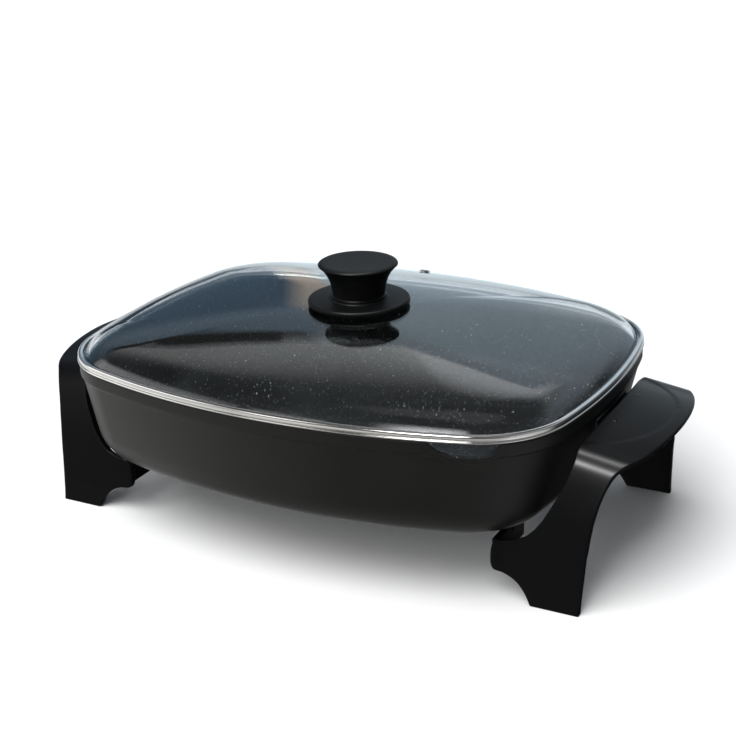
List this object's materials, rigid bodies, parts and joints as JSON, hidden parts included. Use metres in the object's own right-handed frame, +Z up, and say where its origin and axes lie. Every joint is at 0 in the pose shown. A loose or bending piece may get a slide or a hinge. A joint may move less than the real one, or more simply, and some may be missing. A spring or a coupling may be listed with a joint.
{
  "type": "electric skillet",
  "caption": "Deep black cast pan on moulded handle and leg end pieces, with a lift-off domed glass lid, steel band and flared knob.",
  "frame": {"origin": "on the floor under the middle of the pan", "axes": "+X along the length towards the end without the inlet, +Y to the back, +Z up; the pour spout is at +X, -Y"},
  "size_m": [0.495, 0.308, 0.1895],
  "materials": {
    "pan_coating": "die-cast aluminium with a black non-stick coat, satin outside and speckled inside",
    "cast_channel": "as cast",
    "element_sheath": "heat-dulled steel sheath",
    "ceramic_bush": "unglazed ceramic, stated as matte plastic because the list has no ceramic",
    "pin_metal": "plated",
    "black_moulding": "satin phenolic moulding",
    "bracket_steel": "zinc plated",
    "screw_steel": "zinc plated",
    "lid_glass": "clear tempered glass with a faint blue cast",
    "band_steel": "polished stainless steel",
    "vent_steel": "steel eyelet",
    "silicone": "black silicone",
    "knob_phenolic": "matte phenolic",
    "insert_brass": "as turned"
  },
  "bodies": {
    "base": {"pan_body": "pan_coating", "element_channel": "cast_channel", "heating_element": "element_sheath", "terminal_bushes": "ceramic_bush", "terminal_pins": "pin_metal", "probe_socket": "element_sheath", "pin_guard": "black_moulding", "guard_screws": "screw_steel", "end_piece_left": "black_moulding", "end_piece_right": "black_moulding", "leg_screws_left": "screw_steel", "leg_screws_right": "screw_steel", "bracket_left": "bracket_steel", "bracket_right": "bracket_steel", "bracket_screws_left": "screw_steel", "bracket_screws_right": "screw_steel", "handle_screws_left": "screw_steel", "handle_screws_right": "screw_steel"},
    "lid": {"lid_glass": "lid_glass", "lid_band": "band_steel", "steam_vent": "vent_steel", "lower_seal": "silicone", "upper_seal": "silicone", "knob_washer": "screw_steel", "knob_screw": "screw_steel", "knob_disc": "knob_phenolic", "knob_insert": "insert_brass", "knob_grip": "knob_phenolic"}
  },
  "joints": [
    {"name": "lid_lift", "type": "slide", "parent": "base", "child": "lid", "axis": [0, 0, 1], "range_m": [0, 0.12]}
  ]
}
